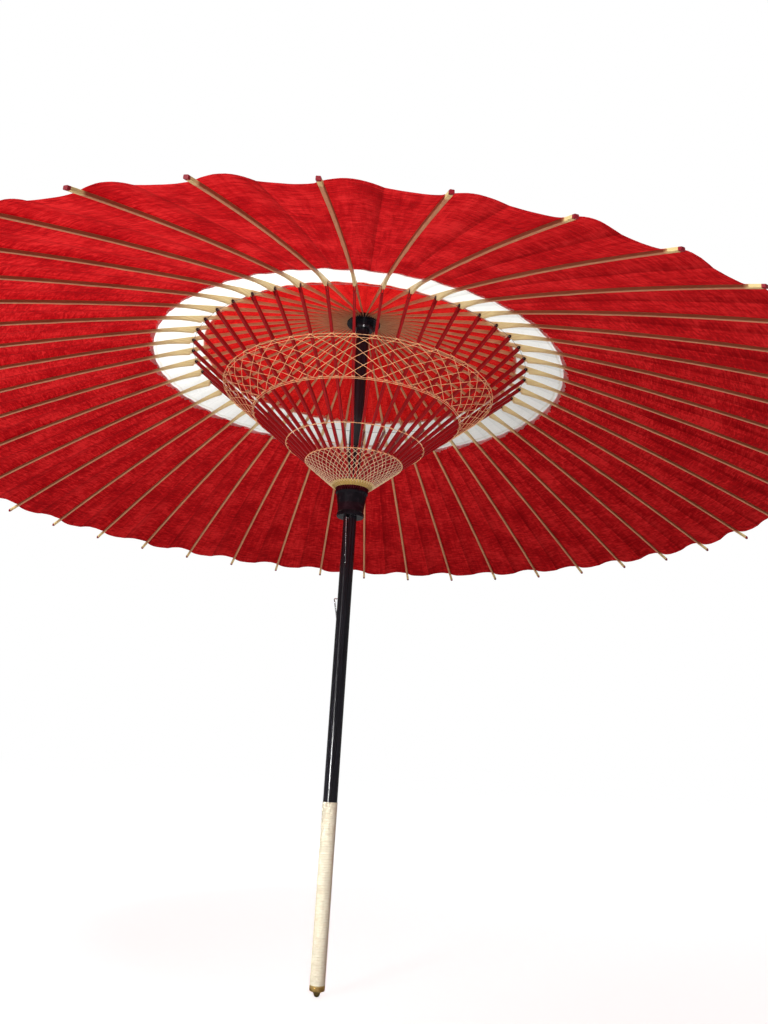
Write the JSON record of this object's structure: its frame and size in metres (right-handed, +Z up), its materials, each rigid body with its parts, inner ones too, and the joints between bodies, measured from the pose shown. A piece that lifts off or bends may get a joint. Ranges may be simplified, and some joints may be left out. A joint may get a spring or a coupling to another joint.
{
  "type": "oil paper umbrella",
  "caption": "Open paper umbrella with hinged bamboo ribs and struts, a sliding runner, threads laced between the struts, and a straight grip.",
  "frame": {"origin": "lowest point of the ferrule, on the shaft's axis", "axes": "+Z up along the shaft, from the grip to the canopy"},
  "size_m": [1.08, 1.08, 0.8],
  "materials": {
    "bamboo": "split bamboo, pale and satin, with long fibres",
    "black_lacquer": "black lacquer on wood, glossy",
    "red_lacquer": "red lacquer on bamboo, satin",
    "rattan": "pale rattan strip wound side by side",
    "brass": "turned brass",
    "spring_steel": "drawn wire",
    "red_paper": "oiled red paper with long fibres, thin enough to let light through",
    "white_paper": "oiled white paper with long fibres, thin enough to let light through",
    "thread": "twisted cotton thread, orange and straw yellow"
  },
  "bodies": {
    "shaft": {"shaft": "black_lacquer", "grip_wrap": "rattan", "ferrule": "brass", "hub": "black_lacquer", "head_cap": "black_lacquer", "hub_thread": "thread", "joint_thread": "thread", "canopy_inner": "red_paper", "canopy_ring": "white_paper", "canopy_outer": "red_paper"},
    "runner": {"runner": "black_lacquer", "struts": "red_lacquer", "thread_net": "thread", "runner_thread": "thread"},
    "clip_upper": {"clip_upper": "spring_steel"},
    "clip_lower": {"clip_lower": "spring_steel"},
    "rib_00": {"rib_00": "bamboo"},
    "rib_01": {"rib_01": "bamboo"},
    "rib_02": {"rib_02": "bamboo"},
    "rib_03": {"rib_03": "bamboo"},
    "rib_04": {"rib_04": "bamboo"},
    "rib_05": {"rib_05": "bamboo"},
    "rib_06": {"rib_06": "bamboo"},
    "rib_07": {"rib_07": "bamboo"},
    "rib_08": {"rib_08": "bamboo"},
    "rib_09": {"rib_09": "bamboo"},
    "rib_10": {"rib_10": "bamboo"},
    "rib_11": {"rib_11": "bamboo"},
    "rib_12": {"rib_12": "bamboo"},
    "rib_13": {"rib_13": "bamboo"},
    "rib_14": {"rib_14": "bamboo"},
    "rib_15": {"rib_15": "bamboo"},
    "rib_16": {"rib_16": "bamboo"},
    "rib_17": {"rib_17": "bamboo"},
    "rib_18": {"rib_18": "bamboo"},
    "rib_19": {"rib_19": "bamboo"},
    "rib_20": {"rib_20": "bamboo"},
    "rib_21": {"rib_21": "bamboo"},
    "rib_22": {"rib_22": "bamboo"},
    "rib_23": {"rib_23": "bamboo"},
    "rib_24": {"rib_24": "bamboo"},
    "rib_25": {"rib_25": "bamboo"},
    "rib_26": {"rib_26": "bamboo"},
    "rib_27": {"rib_27": "bamboo"},
    "rib_28": {"rib_28": "bamboo"},
    "rib_29": {"rib_29": "bamboo"},
    "rib_30": {"rib_30": "bamboo"},
    "rib_31": {"rib_31": "bamboo"},
    "rib_32": {"rib_32": "bamboo"},
    "rib_33": {"rib_33": "bamboo"},
    "rib_34": {"rib_34": "bamboo"},
    "rib_35": {"rib_35": "bamboo"},
    "rib_36": {"rib_36": "bamboo"},
    "rib_37": {"rib_37": "bamboo"},
    "rib_38": {"rib_38": "bamboo"},
    "rib_39": {"rib_39": "bamboo"},
    "rib_40": {"rib_40": "bamboo"},
    "rib_41": {"rib_41": "bamboo"},
    "rib_42": {"rib_42": "bamboo"},
    "rib_43": {"rib_43": "bamboo"}
  },
  "joints": [
    {"name": "runner_slide", "type": "slide", "parent": "shaft", "child": "runner", "axis": [0, 0, 1], "range_m": [-0.211, 0], "deforming": ["struts", "thread_net", "runner_thread", "canopy_inner", "canopy_ring", "canopy_outer", "joint_thread", "clip_upper", "clip_lower"]},
    {"name": "rib_fold_00", "type": "hinge", "parent": "shaft", "child": "rib_00", "pos_m": [0.016, 0, 0.755], "axis": [0, 1, 0], "range_deg": [0, 67.5]},
    {"name": "rib_fold_01", "type": "hinge", "parent": "shaft", "child": "rib_01", "pos_m": [0.01584, 0.00228, 0.755], "axis": [-0.1423, 0.9898, 0], "range_deg": [0, 67.5]},
    {"name": "rib_fold_02", "type": "hinge", "parent": "shaft", "child": "rib_02", "pos_m": [0.01535, 0.00451, 0.755], "axis": [-0.2817, 0.9595, 0], "range_deg": [0, 67.5]},
    {"name": "rib_fold_03", "type": "hinge", "parent": "shaft", "child": "rib_03", "pos_m": [0.01455, 0.00665, 0.755], "axis": [-0.4154, 0.9096, 0], "range_deg": [0, 67.5]},
    {"name": "rib_fold_04", "type": "hinge", "parent": "shaft", "child": "rib_04", "pos_m": [0.01346, 0.00865, 0.755], "axis": [-0.5406, 0.8413, 0], "range_deg": [0, 67.5]},
    {"name": "rib_fold_05", "type": "hinge", "parent": "shaft", "child": "rib_05", "pos_m": [0.01209, 0.01048, 0.755], "axis": [-0.6549, 0.7557, 0], "range_deg": [0, 67.5]},
    {"name": "rib_fold_06", "type": "hinge", "parent": "shaft", "child": "rib_06", "pos_m": [0.01048, 0.01209, 0.755], "axis": [-0.7557, 0.6549, 0], "range_deg": [0, 67.5]},
    {"name": "rib_fold_07", "type": "hinge", "parent": "shaft", "child": "rib_07", "pos_m": [0.00865, 0.01346, 0.755], "axis": [-0.8413, 0.5406, 0], "range_deg": [0, 67.5]},
    {"name": "rib_fold_08", "type": "hinge", "parent": "shaft", "child": "rib_08", "pos_m": [0.00665, 0.01455, 0.755], "axis": [-0.9096, 0.4154, 0], "range_deg": [0, 67.5]},
    {"name": "rib_fold_09", "type": "hinge", "parent": "shaft", "child": "rib_09", "pos_m": [0.00451, 0.01535, 0.755], "axis": [-0.9595, 0.2817, 0], "range_deg": [0, 67.5]},
    {"name": "rib_fold_10", "type": "hinge", "parent": "shaft", "child": "rib_10", "pos_m": [0.00228, 0.01584, 0.755], "axis": [-0.9898, 0.1423, 0], "range_deg": [0, 67.5]},
    {"name": "rib_fold_11", "type": "hinge", "parent": "shaft", "child": "rib_11", "pos_m": [0, 0.016, 0.755], "axis": [-1, 0, 0], "range_deg": [0, 67.5]},
    {"name": "rib_fold_12", "type": "hinge", "parent": "shaft", "child": "rib_12", "pos_m": [-0.00228, 0.01584, 0.755], "axis": [-0.9898, -0.1423, 0], "range_deg": [0, 67.5]},
    {"name": "rib_fold_13", "type": "hinge", "parent": "shaft", "child": "rib_13", "pos_m": [-0.00451, 0.01535, 0.755], "axis": [-0.9595, -0.2817, 0], "range_deg": [0, 67.5]},
    {"name": "rib_fold_14", "type": "hinge", "parent": "shaft", "child": "rib_14", "pos_m": [-0.00665, 0.01455, 0.755], "axis": [-0.9096, -0.4154, 0], "range_deg": [0, 67.5]},
    {"name": "rib_fold_15", "type": "hinge", "parent": "shaft", "child": "rib_15", "pos_m": [-0.00865, 0.01346, 0.755], "axis": [-0.8413, -0.5406, 0], "range_deg": [0, 67.5]},
    {"name": "rib_fold_16", "type": "hinge", "parent": "shaft", "child": "rib_16", "pos_m": [-0.01048, 0.01209, 0.755], "axis": [-0.7557, -0.6549, 0], "range_deg": [0, 67.5]},
    {"name": "rib_fold_17", "type": "hinge", "parent": "shaft", "child": "rib_17", "pos_m": [-0.01209, 0.01048, 0.755], "axis": [-0.6549, -0.7557, 0], "range_deg": [0, 67.5]},
    {"name": "rib_fold_18", "type": "hinge", "parent": "shaft", "child": "rib_18", "pos_m": [-0.01346, 0.00865, 0.755], "axis": [-0.5406, -0.8413, 0], "range_deg": [0, 67.5]},
    {"name": "rib_fold_19", "type": "hinge", "parent": "shaft", "child": "rib_19", "pos_m": [-0.01455, 0.00665, 0.755], "axis": [-0.4154, -0.9096, 0], "range_deg": [0, 67.5]},
    {"name": "rib_fold_20", "type": "hinge", "parent": "shaft", "child": "rib_20", "pos_m": [-0.01535, 0.00451, 0.755], "axis": [-0.2817, -0.9595, 0], "range_deg": [0, 67.5]},
    {"name": "rib_fold_21", "type": "hinge", "parent": "shaft", "child": "rib_21", "pos_m": [-0.01584, 0.00228, 0.755], "axis": [-0.1423, -0.9898, 0], "range_deg": [0, 67.5]},
    {"name": "rib_fold_22", "type": "hinge", "parent": "shaft", "child": "rib_22", "pos_m": [-0.016, 0, 0.755], "axis": [0, -1, 0], "range_deg": [0, 67.5]},
    {"name": "rib_fold_23", "type": "hinge", "parent": "shaft", "child": "rib_23", "pos_m": [-0.01584, -0.00228, 0.755], "axis": [0.1423, -0.9898, 0], "range_deg": [0, 67.5]},
    {"name": "rib_fold_24", "type": "hinge", "parent": "shaft", "child": "rib_24", "pos_m": [-0.01535, -0.00451, 0.755], "axis": [0.2817, -0.9595, 0], "range_deg": [0, 67.5]},
    {"name": "rib_fold_25", "type": "hinge", "parent": "shaft", "child": "rib_25", "pos_m": [-0.01455, -0.00665, 0.755], "axis": [0.4154, -0.9096, 0], "range_deg": [0, 67.5]},
    {"name": "rib_fold_26", "type": "hinge", "parent": "shaft", "child": "rib_26", "pos_m": [-0.01346, -0.00865, 0.755], "axis": [0.5406, -0.8413, 0], "range_deg": [0, 67.5]},
    {"name": "rib_fold_27", "type": "hinge", "parent": "shaft", "child": "rib_27", "pos_m": [-0.01209, -0.01048, 0.755], "axis": [0.6549, -0.7557, 0], "range_deg": [0, 67.5]},
    {"name": "rib_fold_28", "type": "hinge", "parent": "shaft", "child": "rib_28", "pos_m": [-0.01048, -0.01209, 0.755], "axis": [0.7557, -0.6549, 0], "range_deg": [0, 67.5]},
    {"name": "rib_fold_29", "type": "hinge", "parent": "shaft", "child": "rib_29", "pos_m": [-0.00865, -0.01346, 0.755], "axis": [0.8413, -0.5406, 0], "range_deg": [0, 67.5]},
    {"name": "rib_fold_30", "type": "hinge", "parent": "shaft", "child": "rib_30", "pos_m": [-0.00665, -0.01455, 0.755], "axis": [0.9096, -0.4154, 0], "range_deg": [0, 67.5]},
    {"name": "rib_fold_31", "type": "hinge", "parent": "shaft", "child": "rib_31", "pos_m": [-0.00451, -0.01535, 0.755], "axis": [0.9595, -0.2817, 0], "range_deg": [0, 67.5]},
    {"name": "rib_fold_32", "type": "hinge", "parent": "shaft", "child": "rib_32", "pos_m": [-0.00228, -0.01584, 0.755], "axis": [0.9898, -0.1423, 0], "range_deg": [0, 67.5]},
    {"name": "rib_fold_33", "type": "hinge", "parent": "shaft", "child": "rib_33", "pos_m": [0, -0.016, 0.755], "axis": [1, 0, 0], "range_deg": [0, 67.5]},
    {"name": "rib_fold_34", "type": "hinge", "parent": "shaft", "child": "rib_34", "pos_m": [0.00228, -0.01584, 0.755], "axis": [0.9898, 0.1423, 0], "range_deg": [0, 67.5]},
    {"name": "rib_fold_35", "type": "hinge", "parent": "shaft", "child": "rib_35", "pos_m": [0.00451, -0.01535, 0.755], "axis": [0.9595, 0.2817, 0], "range_deg": [0, 67.5]},
    {"name": "rib_fold_36", "type": "hinge", "parent": "shaft", "child": "rib_36", "pos_m": [0.00665, -0.01455, 0.755], "axis": [0.9096, 0.4154, 0], "range_deg": [0, 67.5]},
    {"name": "rib_fold_37", "type": "hinge", "parent": "shaft", "child": "rib_37", "pos_m": [0.00865, -0.01346, 0.755], "axis": [0.8413, 0.5406, 0], "range_deg": [0, 67.5]},
    {"name": "rib_fold_38", "type": "hinge", "parent": "shaft", "child": "rib_38", "pos_m": [0.01048, -0.01209, 0.755], "axis": [0.7557, 0.6549, 0], "range_deg": [0, 67.5]},
    {"name": "rib_fold_39", "type": "hinge", "parent": "shaft", "child": "rib_39", "pos_m": [0.01209, -0.01048, 0.755], "axis": [0.6549, 0.7557, 0], "range_deg": [0, 67.5]},
    {"name": "rib_fold_40", "type": "hinge", "parent": "shaft", "child": "rib_40", "pos_m": [0.01346, -0.00865, 0.755], "axis": [0.5406, 0.8413, 0], "range_deg": [0, 67.5]},
    {"name": "rib_fold_41", "type": "hinge", "parent": "shaft", "child": "rib_41", "pos_m": [0.01455, -0.00665, 0.755], "axis": [0.4154, 0.9096, 0], "range_deg": [0, 67.5]},
    {"name": "rib_fold_42", "type": "hinge", "parent": "shaft", "child": "rib_42", "pos_m": [0.01535, -0.00451, 0.755], "axis": [0.2817, 0.9595, 0], "range_deg": [0, 67.5]},
    {"name": "rib_fold_43", "type": "hinge", "parent": "shaft", "child": "rib_43", "pos_m": [0.01584, -0.00228, 0.755], "axis": [0.1423, 0.9898, 0], "range_deg": [0, 67.5]},
    {"name": "clip_upper_press", "type": "hinge", "parent": "shaft", "child": "clip_upper", "pos_m": [-0.0015, -0.00435, 0.45], "axis": [0.9455, -0.3256, 0], "range_deg": [-5, 0], "stiffness_Nm_per_rad": 0.05},
    {"name": "clip_lower_press", "type": "hinge", "parent": "shaft", "child": "clip_lower", "pos_m": [-0.00459, -0.00024, 0.378], "axis": [0.0523, -0.9986, 0], "range_deg": [-8, 0], "stiffness_Nm_per_rad": 0.05}
  ],
  "couplings": [
    {"joint": "rib_fold_00", "follows": "runner_slide", "rad_per_m": -5.5834},
    {"joint": "rib_fold_01", "follows": "runner_slide", "rad_per_m": -5.5834},
    {"joint": "rib_fold_02", "follows": "runner_slide", "rad_per_m": -5.5834},
    {"joint": "rib_fold_03", "follows": "runner_slide", "rad_per_m": -5.5834},
    {"joint": "rib_fold_04", "follows": "runner_slide", "rad_per_m": -5.5834},
    {"joint": "rib_fold_05", "follows": "runner_slide", "rad_per_m": -5.5834},
    {"joint": "rib_fold_06", "follows": "runner_slide", "rad_per_m": -5.5834},
    {"joint": "rib_fold_07", "follows": "runner_slide", "rad_per_m": -5.5834},
    {"joint": "rib_fold_08", "follows": "runner_slide", "rad_per_m": -5.5834},
    {"joint": "rib_fold_09", "follows": "runner_slide", "rad_per_m": -5.5834},
    {"joint": "rib_fold_10", "follows": "runner_slide", "rad_per_m": -5.5834},
    {"joint": "rib_fold_11", "follows": "runner_slide", "rad_per_m": -5.5834},
    {"joint": "rib_fold_12", "follows": "runner_slide", "rad_per_m": -5.5834},
    {"joint": "rib_fold_13", "follows": "runner_slide", "rad_per_m": -5.5834},
    {"joint": "rib_fold_14", "follows": "runner_slide", "rad_per_m": -5.5834},
    {"joint": "rib_fold_15", "follows": "runner_slide", "rad_per_m": -5.5834},
    {"joint": "rib_fold_16", "follows": "runner_slide", "rad_per_m": -5.5834},
    {"joint": "rib_fold_17", "follows": "runner_slide", "rad_per_m": -5.5834},
    {"joint": "rib_fold_18", "follows": "runner_slide", "rad_per_m": -5.5834},
    {"joint": "rib_fold_19", "follows": "runner_slide", "rad_per_m": -5.5834},
    {"joint": "rib_fold_20", "follows": "runner_slide", "rad_per_m": -5.5834},
    {"joint": "rib_fold_21", "follows": "runner_slide", "rad_per_m": -5.5834},
    {"joint": "rib_fold_22", "follows": "runner_slide", "rad_per_m": -5.5834},
    {"joint": "rib_fold_23", "follows": "runner_slide", "rad_per_m": -5.5834},
    {"joint": "rib_fold_24", "follows": "runner_slide", "rad_per_m": -5.5834},
    {"joint": "rib_fold_25", "follows": "runner_slide", "rad_per_m": -5.5834},
    {"joint": "rib_fold_26", "follows": "runner_slide", "rad_per_m": -5.5834},
    {"joint": "rib_fold_27", "follows": "runner_slide", "rad_per_m": -5.5834},
    {"joint": "rib_fold_28", "follows": "runner_slide", "rad_per_m": -5.5834},
    {"joint": "rib_fold_29", "follows": "runner_slide", "rad_per_m": -5.5834},
    {"joint": "rib_fold_30", "follows": "runner_slide", "rad_per_m": -5.5834},
    {"joint": "rib_fold_31", "follows": "runner_slide", "rad_per_m": -5.5834},
    {"joint": "rib_fold_32", "follows": "runner_slide", "rad_per_m": -5.5834},
    {"joint": "rib_fold_33", "follows": "runner_slide", "rad_per_m": -5.5834},
    {"joint": "rib_fold_34", "follows": "runner_slide", "rad_per_m": -5.5834},
    {"joint": "rib_fold_35", "follows": "runner_slide", "rad_per_m": -5.5834},
    {"joint": "rib_fold_36", "follows": "runner_slide", "rad_per_m": -5.5834},
    {"joint": "rib_fold_37", "follows": "runner_slide", "rad_per_m": -5.5834},
    {"joint": "rib_fold_38", "follows": "runner_slide", "rad_per_m": -5.5834},
    {"joint": "rib_fold_39", "follows": "runner_slide", "rad_per_m": -5.5834},
    {"joint": "rib_fold_40", "follows": "runner_slide", "rad_per_m": -5.5834},
    {"joint": "rib_fold_41", "follows": "runner_slide", "rad_per_m": -5.5834},
    {"joint": "rib_fold_42", "follows": "runner_slide", "rad_per_m": -5.5834},
    {"joint": "rib_fold_43", "follows": "runner_slide", "rad_per_m": -5.5834}
  ]
}
